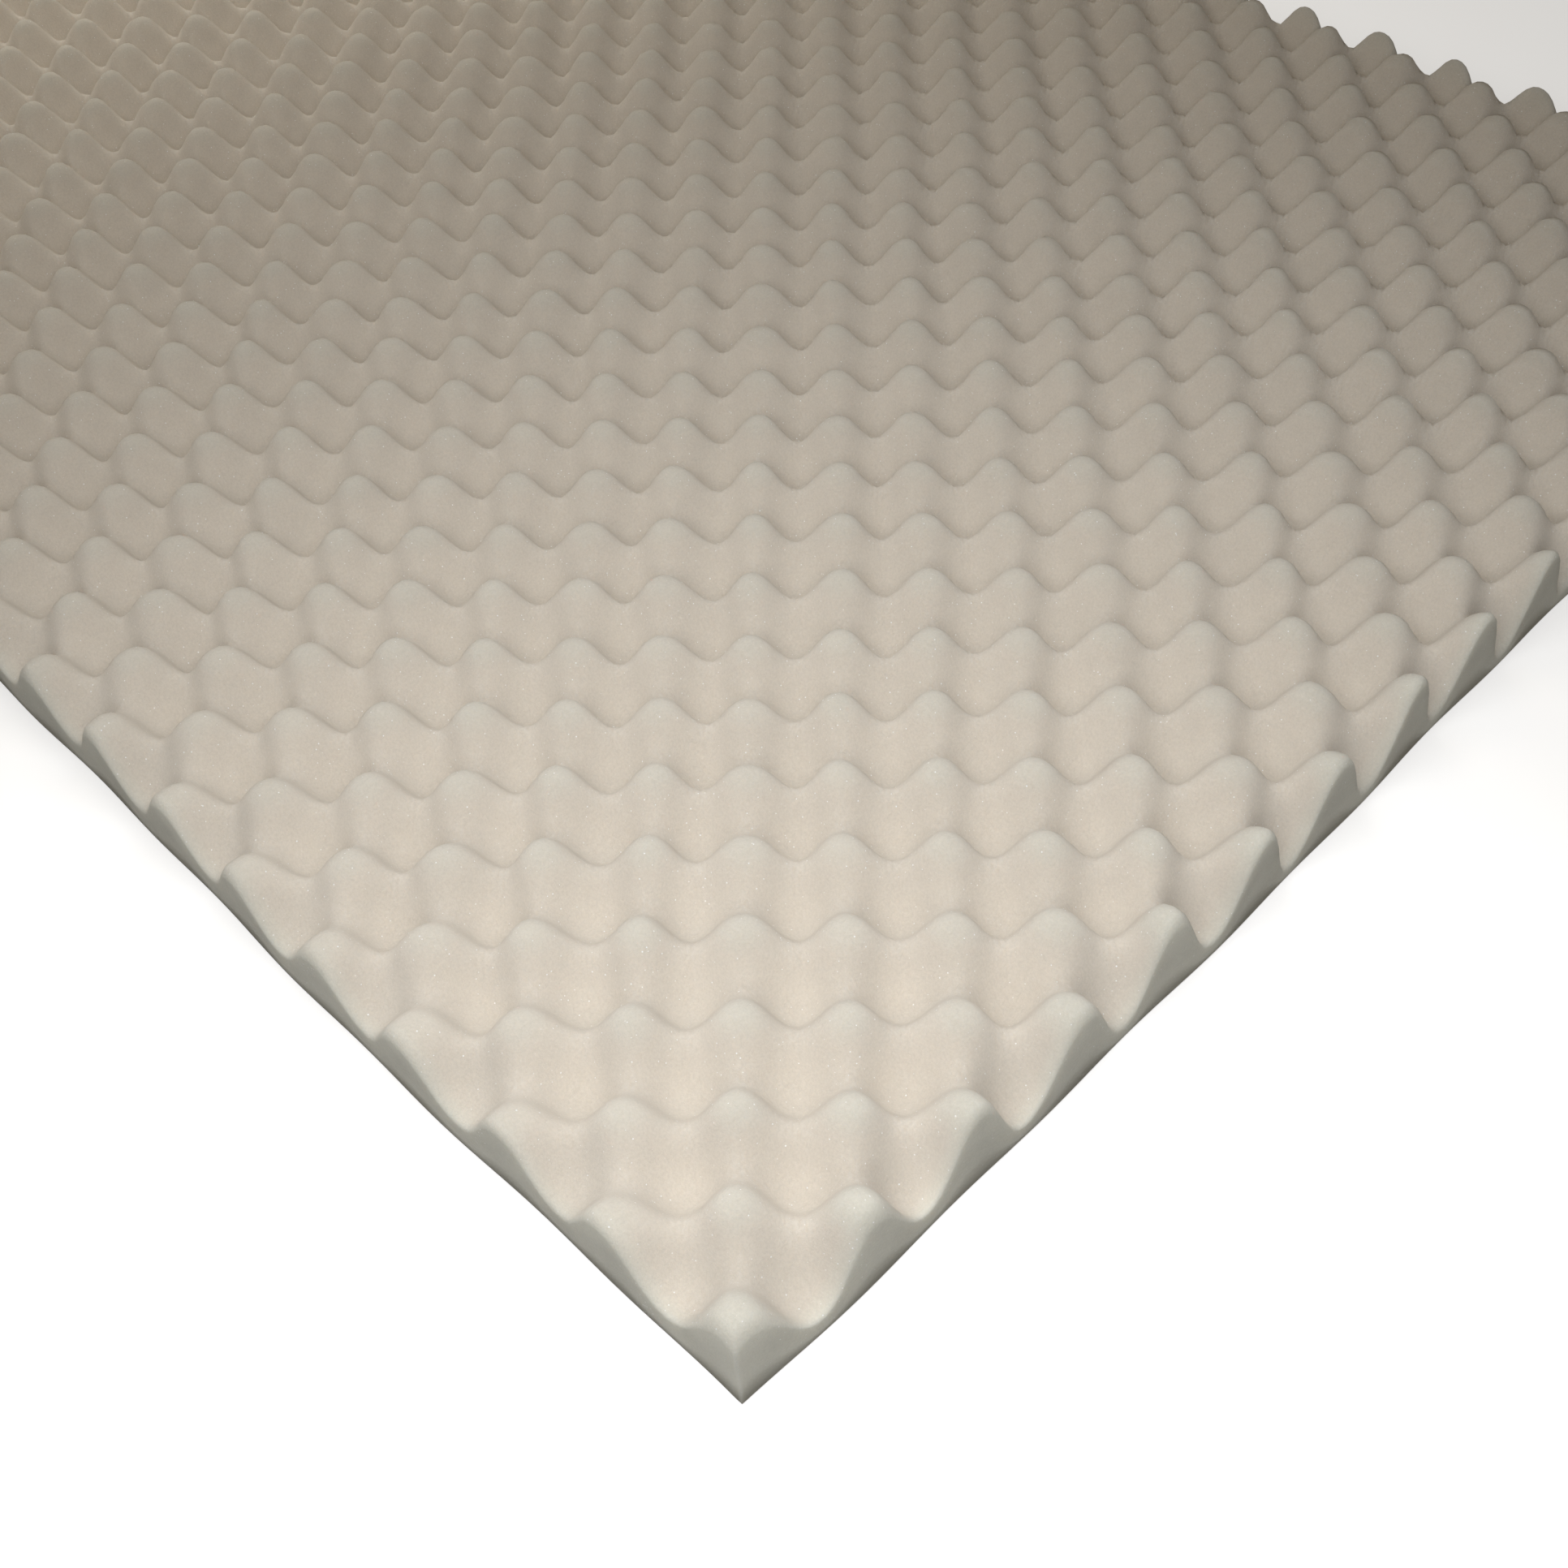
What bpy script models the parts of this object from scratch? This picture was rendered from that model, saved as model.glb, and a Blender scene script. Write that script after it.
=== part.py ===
"""Egg-crate foam mattress topper: one sheet of convoluted foam with cut edges.

The sheet lies flat on its smooth underside. Its upper face is a checkerboard of
rounded peaks and valleys, as a slab gets when it is pressed between studded rollers
while a blade splits it. All four edges are straight vertical cuts through that relief.
Metres, +Z up; the origin is on the underside, at the middle of the sheet.
"""
import math

import bmesh
import bpy

# Driving dimensions of the sheet.
WIDTH = 0.90
LENGTH = 1.90
THICKNESS = 0.050

# The relief. A step runs from a peak to the next valley, square to an edge, and the
# tallest peaks stand THICKNESS_STEPS of them over the underside.
THICKNESS_STEPS = 1.783
STEP = THICKNESS / THICKNESS_STEPS
MID_LEVEL = 1.04 * STEP
RELIEF = 0.57 * STEP
FLANK_GAIN = 0.30

# Distance from the near cut edges to the first row of peaks, in steps.
FIRST_ROW_X = 0.23
FIRST_ROW_Y = 0.33
NARROWEST_CELL = 0.25

# Unevenness, in steps: rows wander sideways, the outer rows lie nearer to the near cuts,
# and the corner's own peaks are pushed along.
WANDER = 0.05
EDGE_PULL_X = -0.16
EDGE_PULL_Y = -0.11
PULL_REACH = 1.3
CORNER_PUSH_X = 0.19
CORNER_PUSH_Y = 0.03
CORNER_REACH = 2.3

# Unevenness of the relief, as shares of it: some peaks stand lower, and it is deeper
# along the -Y cut and at the near corner, and shallower along the -X cut.
LOW_SHARE = 0.12
DEEPER_Y = 0.40
SHALLOWER_X = 0.15
DEEPER_CORNER = 0.20
DEPTH_REACH = 0.8

FOAM_COLOUR = (0.71, 0.62, 0.50, 1.0)
FOAM_ROUGHNESS = 0.95


def clear_scene():
    """Remove whatever objects the file opened with."""
    for old in list(bpy.data.objects):
        bpy.data.objects.remove(old, do_unlink=True)


def foam_material():
    """Cream open-cell foam, without gloss."""
    material = bpy.data.materials.new("foam")
    material.use_nodes = True
    shader = material.node_tree.nodes["Principled BSDF"]
    shader.inputs["Base Color"].default_value = FOAM_COLOUR
    shader.inputs["Roughness"].default_value = FOAM_ROUGHNESS
    shader.inputs["Metallic"].default_value = 0.0
    return material


def row_lines(extent, first_row):
    """Places of the rows in steps: the near cut, every peak or valley row, the far cut."""
    far_cut = extent / STEP - first_row
    rows = range(math.ceil(far_cut - NARROWEST_CELL))
    return [-first_row] + [float(row) for row in rows] + [far_cut]


def wander(along, across):
    """How far a row strays sideways at a place, in steps: two crossing slow waves."""
    slow = math.sin(0.9 * along + 0.35 * across + 1.0)
    quick = math.sin(2.3 * across - 1.7 * along + 0.4)
    return WANDER * 0.5 * (slow + quick)


def drift(step_x, step_y):
    """How far the pattern lies from an even checkerboard at a place, in steps."""
    from_cut_x = step_x + FIRST_ROW_X
    from_cut_y = step_y + FIRST_ROW_Y
    at_corner = math.exp(-(from_cut_x ** 2 + from_cut_y ** 2) / CORNER_REACH ** 2)
    pull_x = EDGE_PULL_X * math.exp(-from_cut_x / PULL_REACH)
    pull_y = EDGE_PULL_Y * math.exp(-from_cut_y / PULL_REACH)
    drift_x = wander(step_x, step_y) + CORNER_PUSH_X * at_corner + pull_x
    drift_y = wander(step_y, step_x) + CORNER_PUSH_Y * at_corner + pull_y
    return drift_x, drift_y


def relief(step_x, step_y):
    """Height of the upper face at a place given in steps.

    A product of two cosines makes peaks and valleys alternate; a cubic term rounds
    their tops and steepens the flanks; a wave lets some peaks stand lower, and the
    relief changes its depth close to the near cuts and at their corner.
    """
    drift_x, drift_y = drift(step_x, step_y)
    column = step_x - drift_x
    row = step_y - drift_y
    wave = math.cos(math.pi * column) * math.cos(math.pi * row)
    shaped = wave + FLANK_GAIN * wave * (1.0 - wave * wave)
    lowered = 1.0 - LOW_SHARE * (0.5 + 0.5 * math.sin(2.1 * column - 2.9 * row + 0.5))
    from_cut_x = (step_x + FIRST_ROW_X) / DEPTH_REACH
    from_cut_y = (step_y + FIRST_ROW_Y) / DEPTH_REACH
    by_cuts = DEEPER_Y * math.exp(-from_cut_y) - SHALLOWER_X * math.exp(-from_cut_x)
    by_corner = DEEPER_CORNER * math.exp(-(from_cut_x ** 2 + from_cut_y ** 2))
    depth = RELIEF * lowered * (1.0 + by_cuts) * (1.0 + by_corner)
    return MID_LEVEL + depth * shaped


def on_sheet(column, row, inner_x, inner_y):
    """The sheet's point for a peak or valley; points of the cut edges stay on the cuts."""
    drift_x, drift_y = drift(column, row)
    step_x = column + drift_x if inner_x else column
    step_y = row + drift_y if inner_y else row
    x = -WIDTH / 2 + (step_x + FIRST_ROW_X) * STEP
    y = -LENGTH / 2 + (step_y + FIRST_ROW_Y) * STEP
    return x, y, relief(step_x, step_y)


def upper_face(mesh):
    """A grid with a corner on each peak and valley, and a point at mid level between them."""
    lines_x = row_lines(WIDTH, FIRST_ROW_X)
    lines_y = row_lines(LENGTH, FIRST_ROW_Y)
    last_x = len(lines_x) - 1
    last_y = len(lines_y) - 1
    bmesh.ops.create_grid(mesh, x_segments=last_x, y_segments=last_y, size=1.0)
    for corner in mesh.verts:
        column = round((corner.co.x + 1.0) / 2.0 * last_x)
        row = round((corner.co.y + 1.0) / 2.0 * last_y)
        inner_x = 0 < column < last_x
        inner_y = 0 < row < last_y
        corner.co = on_sheet(lines_x[column], lines_y[row], inner_x, inner_y)
    poked = bmesh.ops.poke(mesh, faces=mesh.faces[:])
    for middle in poked["verts"]:
        middle.co.z = MID_LEVEL + (middle.co.z - MID_LEVEL) * 0.5


def close_below(mesh):
    """Vertical cut edges from the rim of the relief down to the flat underside."""
    rim = [edge for edge in mesh.edges if edge.is_boundary]
    walls = bmesh.ops.extrude_edge_only(mesh, edges=rim)["geom"]
    for vertex in (item for item in walls if isinstance(item, bmesh.types.BMVert)):
        vertex.co.z = 0.0
    foot = [edge for edge in mesh.edges if edge.is_boundary]
    bmesh.ops.contextual_create(mesh, geom=foot)
    bmesh.ops.recalc_face_normals(mesh, faces=mesh.faces[:])


def foam_sheet():
    """The whole topper, one closed body."""
    mesh = bmesh.new()
    upper_face(mesh)
    close_below(mesh)
    data = bpy.data.meshes.new("foam_sheet")
    mesh.to_mesh(data)
    mesh.free()
    data.materials.append(foam_material())
    sheet = bpy.data.objects.new("foam_sheet", data)
    bpy.context.scene.collection.objects.link(sheet)
    return sheet


clear_scene()
foam_sheet()
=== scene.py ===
"""Looks of an egg-crate foam mattress topper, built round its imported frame."""
import math

import bpy
import numpy as np
from mathutils import Matrix, Vector


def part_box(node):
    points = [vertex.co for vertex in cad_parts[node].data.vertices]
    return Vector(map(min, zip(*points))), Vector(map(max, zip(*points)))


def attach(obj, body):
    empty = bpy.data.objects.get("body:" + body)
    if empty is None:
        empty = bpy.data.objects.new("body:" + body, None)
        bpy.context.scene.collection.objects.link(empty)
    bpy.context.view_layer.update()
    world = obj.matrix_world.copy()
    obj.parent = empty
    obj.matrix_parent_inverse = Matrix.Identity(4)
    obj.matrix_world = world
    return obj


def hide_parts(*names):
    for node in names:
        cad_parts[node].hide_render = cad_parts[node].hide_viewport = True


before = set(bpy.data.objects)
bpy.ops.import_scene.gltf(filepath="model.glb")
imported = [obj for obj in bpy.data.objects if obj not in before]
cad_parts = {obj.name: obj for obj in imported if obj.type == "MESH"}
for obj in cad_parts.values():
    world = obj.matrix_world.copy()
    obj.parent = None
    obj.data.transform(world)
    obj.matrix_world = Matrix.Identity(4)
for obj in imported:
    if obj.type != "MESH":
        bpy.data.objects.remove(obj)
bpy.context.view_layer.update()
sheet_low, sheet_high = (np.array(corner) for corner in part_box("foam_sheet"))
thickness = sheet_high[2] - sheet_low[2]

# The relief's step, from a peak to the next valley square to an edge, is the unit of
# the camera's place, because the rows of peaks in the picture are what fixes it.
THICKNESS_STEPS = 1.783
STEP = thickness / THICKNESS_STEPS
MID_LEVEL = 1.04 * STEP
FIRST_ROW = np.array([0.23, 0.33])
first_peak = sheet_low[:2] + FIRST_ROW * STEP


# ---- Camera ---------------------------------------------------------------------------
# Held low over the near corner, looking along the diagonal of the pattern and down at it.
EYE_STEPS = (-5.348, -7.525, 19.833)
HEADING = math.radians(48.24)
DOWNWARD = math.radians(48.06)
LEAN = math.radians(-3.63)
FRAME_PIXELS = 1932
FOCAL_PIXELS = 2195.4

camera_data = bpy.data.cameras.new("camera")
camera_data.sensor_width = 36.0
camera_data.lens = camera_data.sensor_width * FOCAL_PIXELS / FRAME_PIXELS
camera_data.clip_start = 0.01
camera = bpy.data.objects.new("camera", camera_data)
eye = Vector((
    first_peak[0] + EYE_STEPS[0] * STEP,
    first_peak[1] + EYE_STEPS[1] * STEP,
    MID_LEVEL + EYE_STEPS[2] * STEP,
))
turn = Matrix.Rotation(HEADING - math.pi / 2, 4, "Z")
tilt = Matrix.Rotation(math.pi / 2 - DOWNWARD, 4, "X")
camera.matrix_world = Matrix.Translation(eye) @ turn @ tilt @ Matrix.Rotation(LEAN, 4, "Z")
bpy.context.scene.collection.objects.link(camera)
bpy.context.scene.camera = camera


# ---- Foam sheet -----------------------------------------------------------------------
# One slab of open-cell polyurethane foam. Studded rollers squeeze it while a blade splits
# it, which leaves alternating peaks and valleys. The four edges are then cut, the near two
# of them a few millimetres off a straight line.
RELIEF = 0.57 * STEP
FLANK_GAIN = 0.30
WANDER = 0.05
EDGE_PULL = np.array([-0.16, -0.11])
PULL_REACH = 1.3
CORNER_PUSH = np.array([0.19, 0.03])
CORNER_REACH = 2.3
LOW_SHARE = 0.12
DEEPER_Y = 0.40
SHALLOWER_X = 0.15
DEEPER_CORNER = 0.20
DEPTH_REACH = 0.8
FINE_CUTS = 8
PLAIN_CUTS = 4
FINE_STEPS = (20, 30)
RIM = 0.0040
RIM_RINGS = 6
WALL_RINGS = 3
FOOT = 0.0010
CORNER_FAN = 6
SQUARENESS = 0.9
CUT_WAVER = 0.0005
SHORT_WAVES = 60.0
LONG_WAVES = 23.0
SWELL = 0.0055
SWELL_REACH = 0.11
BEND = 0.10
BEND_CROSSING = 0.25
CUT_FADE = 0.10
# Share of the painted shade of the cuts that the border of the upper face gets.
EDGE_SHADE_SHARE = 0.35


def wander(along, across):
    """How far rows stray sideways, in steps: the mean of a slow and a quick sine wave."""
    slow = np.sin(0.9 * along + 0.35 * across + 1.0)
    quick = np.sin(2.3 * across - 1.7 * along + 0.4)
    return WANDER * 0.5 * (slow + quick)


def relief(x, y):
    """Height of the upper face at places in metres.

    The product of a cosine along each edge is a checkerboard of peaks and valleys. It is
    read a little beside the place: by the wander, by a pull towards each near cut that
    fades with the distance from it, and by a push that fades round the corner. Adding a
    share of wave * (1 - wave squared) rounds the tops and steepens the flanks, one more
    sine wave lets some peaks stand lower, and the depth changes close to the near cuts
    and at their corner.
    """
    step_x = (x - first_peak[0]) / STEP
    step_y = (y - first_peak[1]) / STEP
    from_cut_x = step_x + FIRST_ROW[0]
    from_cut_y = step_y + FIRST_ROW[1]
    at_corner = np.exp(-(from_cut_x ** 2 + from_cut_y ** 2) / CORNER_REACH ** 2)
    pull_x = EDGE_PULL[0] * np.exp(-from_cut_x / PULL_REACH)
    pull_y = EDGE_PULL[1] * np.exp(-from_cut_y / PULL_REACH)
    column = step_x - wander(step_x, step_y) - CORNER_PUSH[0] * at_corner - pull_x
    row = step_y - wander(step_y, step_x) - CORNER_PUSH[1] * at_corner - pull_y
    wave = np.cos(np.pi * column) * np.cos(np.pi * row)
    shaped = wave + FLANK_GAIN * wave * (1.0 - wave * wave)
    lowered = 1.0 - LOW_SHARE * (0.5 + 0.5 * np.sin(2.1 * column - 2.9 * row + 0.5))
    deeper = DEEPER_Y * np.exp(-from_cut_y / DEPTH_REACH)
    shallower = SHALLOWER_X * np.exp(-from_cut_x / DEPTH_REACH)
    by_corner = DEEPER_CORNER * np.exp(-(from_cut_x ** 2 + from_cut_y ** 2) / DEPTH_REACH ** 2)
    depth = RELIEF * lowered * (1.0 + deeper - shallower) * (1.0 + by_corner)
    return MID_LEVEL + depth * shaped


def strayed(x, y):
    """Places in metres, with those at the two near cuts moved off the straight lines.

    run is the distance from the near corner. Along the -X cut the move outwards is
    SWELL * (1 - exp(-(run / SWELL_REACH) squared)), less a share that grows to all of it at
    the far corner. Along the -Y cut it is BEND * run * (BEND_CROSSING - run) * (width - run).
    Into the sheet both fade out within CUT_FADE.
    """
    run_x, run_y = x - sheet_low[0], y - sheet_low[1]
    width, length = sheet_high[:2] - sheet_low[:2]
    swell = SWELL * (1.0 - np.exp(-(run_y / SWELL_REACH) ** 2)) * (1.0 - (run_y / length) ** 2)
    bend = BEND * run_x * (BEND_CROSSING - run_x) * (width - run_x)
    near_cut_x = np.clip(1.0 - run_x / CUT_FADE, 0.0, 1.0)
    near_cut_y = np.clip(1.0 - run_y / CUT_FADE, 0.0, 1.0)
    return x - swell * near_cut_x, y - bend * near_cut_y


def grid_lines(low, high, fine_steps):
    """Places of the grid's lines: close at the near corner, wider past fine_steps."""
    turn_over = low + fine_steps * STEP
    near = np.linspace(low, turn_over, fine_steps * FINE_CUTS, endpoint=False)
    far_count = round((high - turn_over) / STEP * PLAIN_CUTS) + 1
    return np.concatenate([near, np.linspace(turn_over, high, far_count)])


def rim_loop(columns, rows):
    """Indices and outward headings of the upper grid's border, anticlockwise from the
    near corner. Each corner is listed once for every heading of its rounding."""
    indices = np.arange(columns * rows).reshape(rows, columns)
    sides = [indices[0, :], indices[:, -1], indices[-1, ::-1], indices[::-1, 0]]
    headings = np.radians([-90.0, 0.0, 90.0, 180.0])
    loop, facing = [], []
    for side, heading in zip(sides, headings):
        loop.append(side[1:-1])
        facing.append(np.full(len(side) - 2, heading))
        loop.append(np.full(CORNER_FAN + 1, side[-1]))
        facing.append(heading + np.linspace(0.0, math.pi / 2, CORNER_FAN + 1))
    return np.concatenate(loop), np.concatenate(facing)


def sheet_surface():
    """Points and faces of the closed sheet.

    The upper face is a grid lifted by the relief. Its border is carried outwards and down
    over a quarter round, straight down the cut, and in under the foot, ring by ring. At a
    corner the way outwards is lengthened, so that the corner is nearly square in plan.
    cut_shade_share says how much painted shade, darker and greyer, a point gets, and how much
    more
    mottle: 1 on the cuts themselves, less on the border of the upper face, rising over the
    rim.
    """
    inner_low = sheet_low[:2] + RIM
    inner_high = sheet_high[:2] - RIM
    xs = grid_lines(inner_low[0], inner_high[0], FINE_STEPS[0])
    ys = grid_lines(inner_low[1], inner_high[1], FINE_STEPS[1])
    x, y = strayed(*(part.ravel() for part in np.meshgrid(xs, ys)))
    upper = np.stack([x, y, relief(x, y)], axis=1)
    cells = np.arange((len(ys) - 1) * len(xs)).reshape(-1, len(xs))[:, :-1].ravel()
    quads = [np.stack([cells, cells + 1, cells + len(xs) + 1, cells + len(xs)], axis=1)]

    loop, facing = rim_loop(len(xs), len(ys))
    outward = np.stack([np.cos(facing), np.sin(facing)], axis=1)
    outward /= np.abs(outward).max(axis=1, keepdims=True) ** SQUARENESS
    border = upper[loop, :2]
    along = border[:, 0] - border[:, 1]
    waver = CUT_WAVER * (np.sin(SHORT_WAVES * along) + np.sin(LONG_WAVES * along + 2.0))
    # Painted shade: the border of the upper face and the rounded rim are darkened towards the
    # tone of the cuts.
    upper_shade_share = np.zeros(len(upper))
    upper_shade_share[loop] = EDGE_SHADE_SHARE
    rings, cut_shade_shares = [], [upper_shade_share]
    for angle in np.linspace(0.0, math.pi / 2, RIM_RINGS + 1)[1:]:
        reach = (RIM + waver) * math.sin(angle)
        place = border + outward * reach[:, None]
        drop = RIM * (1.0 - math.cos(angle))
        rings.append(np.column_stack([place, relief(place[:, 0], place[:, 1]) - drop]))
        # The painted shade rises over the rim to the full shade of the cut.
        rim_shade_share = EDGE_SHADE_SHARE + (1.0 - EDGE_SHADE_SHARE) * math.sin(angle) ** 2
        cut_shade_shares.append(np.full(len(loop), rim_shade_share))
    edge = rings[-1]
    for share in np.linspace(0.0, 1.0, WALL_RINGS + 1)[1:]:
        height = edge[:, 2] + (FOOT - edge[:, 2]) * share
        rings.append(np.column_stack([edge[:, :2], height]))
        cut_shade_shares.append(np.ones(len(loop)))
    foot = edge[:, :2] - outward * FOOT
    rings.append(np.column_stack([foot, np.zeros(len(loop))]))
    cut_shade_shares.append(np.ones(len(loop)))

    points = np.concatenate([upper] + rings)
    cut_shade_share = np.concatenate(cut_shade_shares)
    count = len(loop)
    first = len(upper) + np.arange(count)
    above, below = loop, first
    after = np.roll(np.arange(count), -1)
    fans = loop == loop[after]
    quads.append(np.stack([above, below, below[after], above[after]], axis=1)[~fans])
    triangles = np.stack([above, below, below[after]], axis=1)[fans]
    for ring in range(len(rings) - 1):
        above = first + ring * count
        below = above + count
        quads.append(np.stack([above, below, below[after], above[after]], axis=1))
    underside = (first + (len(rings) - 1) * count)[::-1]
    faces = np.concatenate(quads).tolist() + triangles.tolist() + [underside.tolist()]
    return points, faces, cut_shade_share


class Wire:
    """An output of a node tree. Plain arithmetic on it adds Math nodes."""

    def __init__(self, tree, socket=None):
        self.tree = tree
        self.socket = socket

    def node(self, kind, settings, values, output=0):
        """A new node: its settings are set first, then the values or wires of its sockets."""
        made = self.tree.nodes.new(kind)
        for name, setting in settings.items():
            setattr(made, name, setting)
        for key, value in values.items():
            if isinstance(value, Wire):
                self.tree.links.new(value.socket, made.inputs[key])
            else:
                made.inputs[key].default_value = value
        return Wire(self.tree, made.outputs[output])

    def beside(self, output):
        """Another output of the same node."""
        return Wire(self.tree, self.socket.node.outputs[output])

    def math(self, operation, *values):
        return self.node("ShaderNodeMath", {"operation": operation}, dict(enumerate(values)))

    def clamped(self):
        return self.node("ShaderNodeClamp", {}, {"Value": self})

    def between(self, first, second):
        """The colour first where this wire is 0, second where it is 1."""
        sockets = {"Factor": self, 6: first, 7: second}
        return self.node("ShaderNodeMix", {"data_type": "RGBA"}, sockets, output=2)

    def __add__(self, other):
        return self.math("ADD", self, other)

    def __radd__(self, other):
        return self.math("ADD", other, self)

    def __sub__(self, other):
        return self.math("SUBTRACT", self, other)

    def __rsub__(self, other):
        return self.math("SUBTRACT", other, self)

    def __mul__(self, other):
        return self.math("MULTIPLY", self, other)

    def __rmul__(self, other):
        return self.math("MULTIPLY", other, self)

    def __truediv__(self, other):
        return self.math("DIVIDE", self, other)


CREAM = (0.745, 0.695, 0.622, 1.0)
# Painted light: a greyer tone for the peaks, standing in for the warmer bounce light in the
# valleys.
PAINTED_PEAK_GREY = (0.705, 0.685, 0.620, 1.0)
# Painted shade: a darker, greyer tone for the cuts and their rims.
SHADED_CUT_CREAM = (0.66, 0.655, 0.59, 1.0)
# Painted highlight: the white of the glints.
PAINTED_GLINT_WHITE = (1.0, 1.0, 1.0, 1.0)
PAINTED_PEAK_FROM = MID_LEVEL + 0.3 * STEP
PAINTED_PEAK_RISE = 0.35 * STEP
GRAINS_PER_METRE = 900.0
MOTTLES_PER_METRE = 45.0
CELLS_PER_METRE = 450.0
SHINY_SHARE = 0.50
LEAST_GLINT = 0.04
GLINT_GROWTH = 0.14
GLINT_CRISPNESS = 18.0
GLINT_FADE = 10.0


def foam_material():
    """Open-cell foam: fine grain, a greyer tone painted on the peaks for the warmer bounce
    light in the valleys, painted shade on the cuts and their rims, and glints painted white.

    A glint is a round spot at the middle of a random share of the cells, a painted highlight:
    white, and less rough. Its radius is LEAST_GLINT of a cell, and up to GLINT_GROWTH more
    where the cell's random tone is higher.
    """
    material = bpy.data.materials.new("open_cell_foam")
    material.use_nodes = True
    tree = material.node_tree
    shader = tree.nodes["Principled BSDF"]
    start = Wire(tree)
    place = start.node("ShaderNodeTexCoord", {}, {}, output="Object")
    height = start.node("ShaderNodeSeparateXYZ", {}, {0: place}, output="Z")
    # Share of the painted peak tone: none low down, rising to all of it high on the peaks.
    painted_peak_share = ((height - PAINTED_PEAK_FROM) / PAINTED_PEAK_RISE).clamped()
    # Share of painted shade, darker and greyer, on the cuts and their rims; it also adds
    # mottle there.
    cut = start.node("ShaderNodeAttribute", {"attribute_name": "cut_shade_share"}, {}, output="Fac")
    grain = start.node("ShaderNodeTexNoise", {}, {
        "Vector": place, "Scale": GRAINS_PER_METRE, "Detail": 2.0, "Roughness": 0.7})
    mottle = start.node("ShaderNodeTexNoise", {}, {
        "Vector": place, "Scale": MOTTLES_PER_METRE, "Detail": 1.0})
    off_middle = start.node("ShaderNodeTexVoronoi", {}, {
        "Vector": place, "Scale": CELLS_PER_METRE})
    lot = start.node("ShaderNodeSeparateColor", {}, {0: off_middle.beside("Color")})
    shine = ((lot - (1.0 - SHINY_SHARE)) / SHINY_SHARE).clamped()
    inside = (LEAST_GLINT + GLINT_GROWTH * shine - off_middle) * GLINT_CRISPNESS
    glint = inside.clamped() * (shine * GLINT_FADE).clamped()

    # Painted light: the peaks are painted greyer than the valleys, standing in for the warmer
    # light bounced about in them.
    tone = painted_peak_share.between(CREAM, PAINTED_PEAK_GREY)
    # Painted shade: the cuts and their rims are painted darker and greyer.
    tone = cut.between(tone, SHADED_CUT_CREAM)
    shade = 0.84 + 0.24 * grain + (0.08 + 0.24 * cut) * mottle
    tone = start.node("ShaderNodeVectorMath", {"operation": "SCALE"}, {0: tone, 3: shade})
    # Painted highlight: the glints are painted white.
    tone = glint.between(tone, PAINTED_GLINT_WHITE)
    tree.links.new(tone.socket, shader.inputs["Base Color"])
    rough = 0.95 - 0.5 * glint
    tree.links.new(rough.socket, shader.inputs["Roughness"])
    bumpy = start.node("ShaderNodeBump", {}, {
        "Strength": 0.5, "Distance": 0.0006, "Height": grain})
    tree.links.new(bumpy.socket, shader.inputs["Normal"])
    shader.inputs["Diffuse Roughness"].default_value = 1.0
    shader.inputs["Specular IOR Level"].default_value = 0.25
    shader.inputs["Subsurface Weight"].default_value = 0.45
    shader.inputs["Subsurface Radius"].default_value = (1.0, 0.9, 0.8)
    shader.inputs["Subsurface Scale"].default_value = 0.010
    return material


points, faces, cut_shade_share = sheet_surface()
foam_mesh = bpy.data.meshes.new("foam")
foam_mesh.from_pydata(points.tolist(), [], faces)
foam_mesh.attributes.new("cut_shade_share", "FLOAT", "POINT").data.foreach_set("value", cut_shade_share)
foam_mesh.materials.append(foam_material())
foam_mesh.shade_smooth()
foam = bpy.data.objects.new("egg_crate_foam", foam_mesh)
bpy.context.scene.collection.objects.link(foam)
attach(foam, "root")
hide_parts("foam_sheet")


# ---- Floor and lights -----------------------------------------------------------------
# A plain white floor. One soft light hangs over the near corner and one higher up in
# front of it. Past them a wide warm one, and two gridded ones that light the far half.
FLOOR_HALF = 6.0
FLOOR_DROP = 0.0004
WHITE = (1.0, 1.0, 1.0)
PALE = (1.0, 0.95, 0.87)
WARM = (1.0, 0.80, 0.48)

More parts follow.
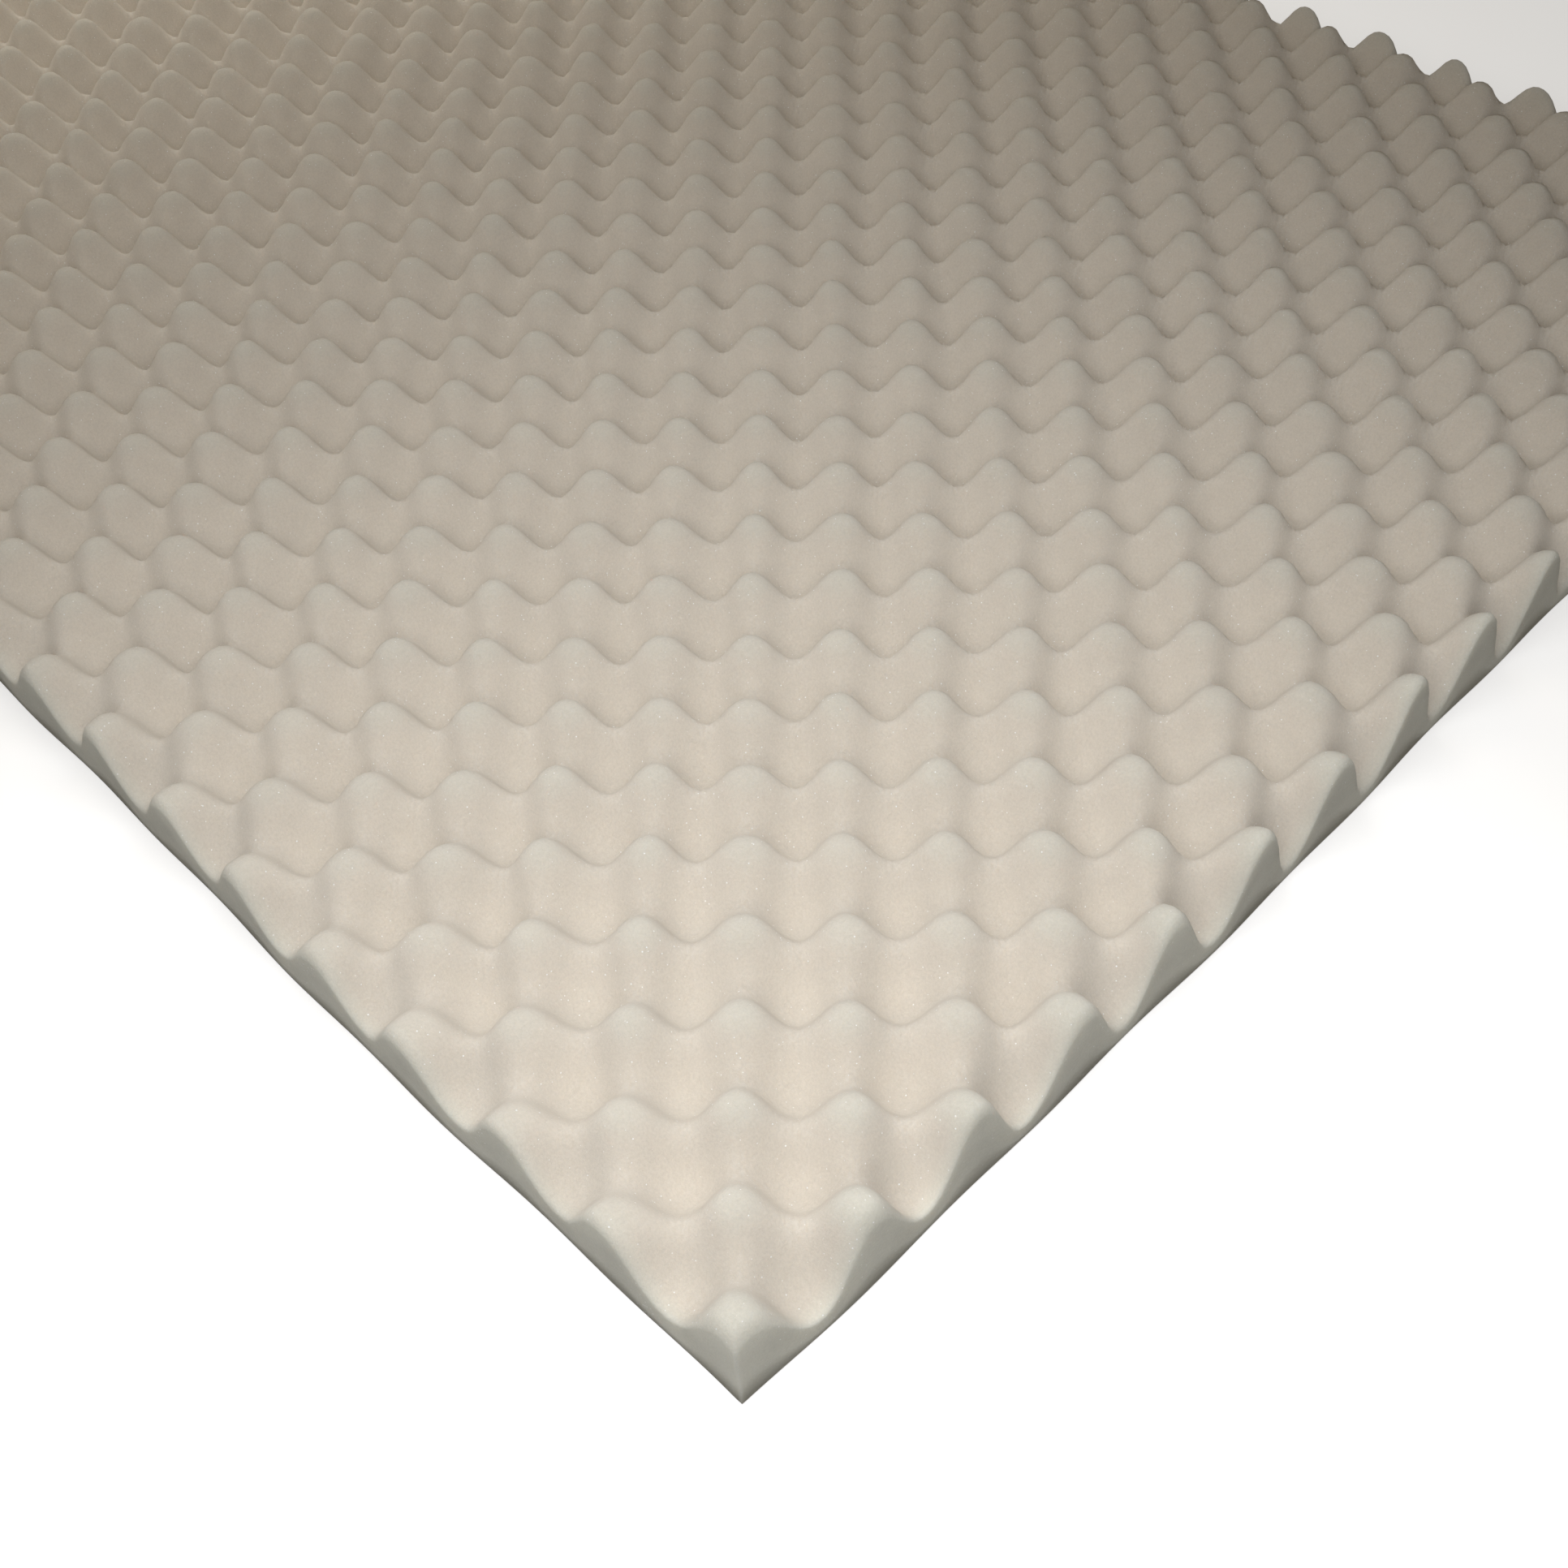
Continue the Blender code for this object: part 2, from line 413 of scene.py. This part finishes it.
floor_mesh = bpy.data.meshes.new("floor")
floor_corners = [(-FLOOR_HALF, -FLOOR_HALF), (FLOOR_HALF, -FLOOR_HALF),
                 (FLOOR_HALF, FLOOR_HALF), (-FLOOR_HALF, FLOOR_HALF)]
floor_mesh.from_pydata([(x, y, -FLOOR_DROP) for x, y in floor_corners], [], [(0, 1, 2, 3)])
floor = bpy.data.objects.new("floor", floor_mesh)
bpy.context.scene.collection.objects.link(floor)
floor_paint = bpy.data.materials.new("floor_paint")
floor_paint.use_nodes = True
floor_shader = floor_paint.node_tree.nodes["Principled BSDF"]
floor_shader.inputs["Base Color"].default_value = (0.92, 0.92, 0.92, 1.0)
floor_shader.inputs["Roughness"].default_value = 0.9
floor_shader.inputs["Emission Color"].default_value = (1.0, 1.0, 1.0, 1.0)
floor_shader.inputs["Emission Strength"].default_value = 0.50
floor_mesh.materials.append(floor_paint)
floor.visible_diffuse = False

near_corner = Vector((sheet_low[0], sheet_low[1], 0.0))


def area_light(name, offset, aim_offset, size, power, colour, fan=180.0):
    """A square soft light; its place and aim are counted from the near corner.

    fan is the angle in degrees that its beam fans out to.
    """
    light_data = bpy.data.lights.new(name, "AREA")
    light_data.size = size
    light_data.energy = power
    light_data.color = colour
    light_data.spread = math.radians(fan)
    light = bpy.data.objects.new(name, light_data)
    light.location = near_corner + Vector(offset)
    heading = Vector(aim_offset) - Vector(offset)
    light.rotation_euler = heading.to_track_quat("-Z", "Y").to_euler()
    bpy.context.scene.collection.objects.link(light)


area_light("over_corner", (0.05, 0.05, 0.50), (0.05, 0.05, 0.0), 0.5, 1.72, WHITE)
area_light("front", (-0.35, -0.35, 0.75), (0.05, 0.05, 0.0), 0.6, 3.95, WHITE)
area_light("warm", (0.55, 1.65, 1.50), (0.55, 1.65, 0.0), 1.4, 2.4, WARM)
area_light("far_half", (0.65, 1.50, 1.20), (0.65, 1.50, 0.0), 1.0, 2.6, PALE, fan=98.0)
area_light("behind", (1.30, 3.00, 1.20), (0.50, 1.90, 0.0), 0.8, 2.8, PALE, fan=60.0)

world = bpy.data.worlds.new("world")
world.use_nodes = True
sky = world.node_tree.nodes["Background"]
sky.inputs["Color"].default_value = (1.0, 0.80, 0.50, 1.0)
sky.inputs["Strength"].default_value = 0.05
bpy.context.scene.world = world
bpy.context.scene.view_settings.view_transform = "Standard"
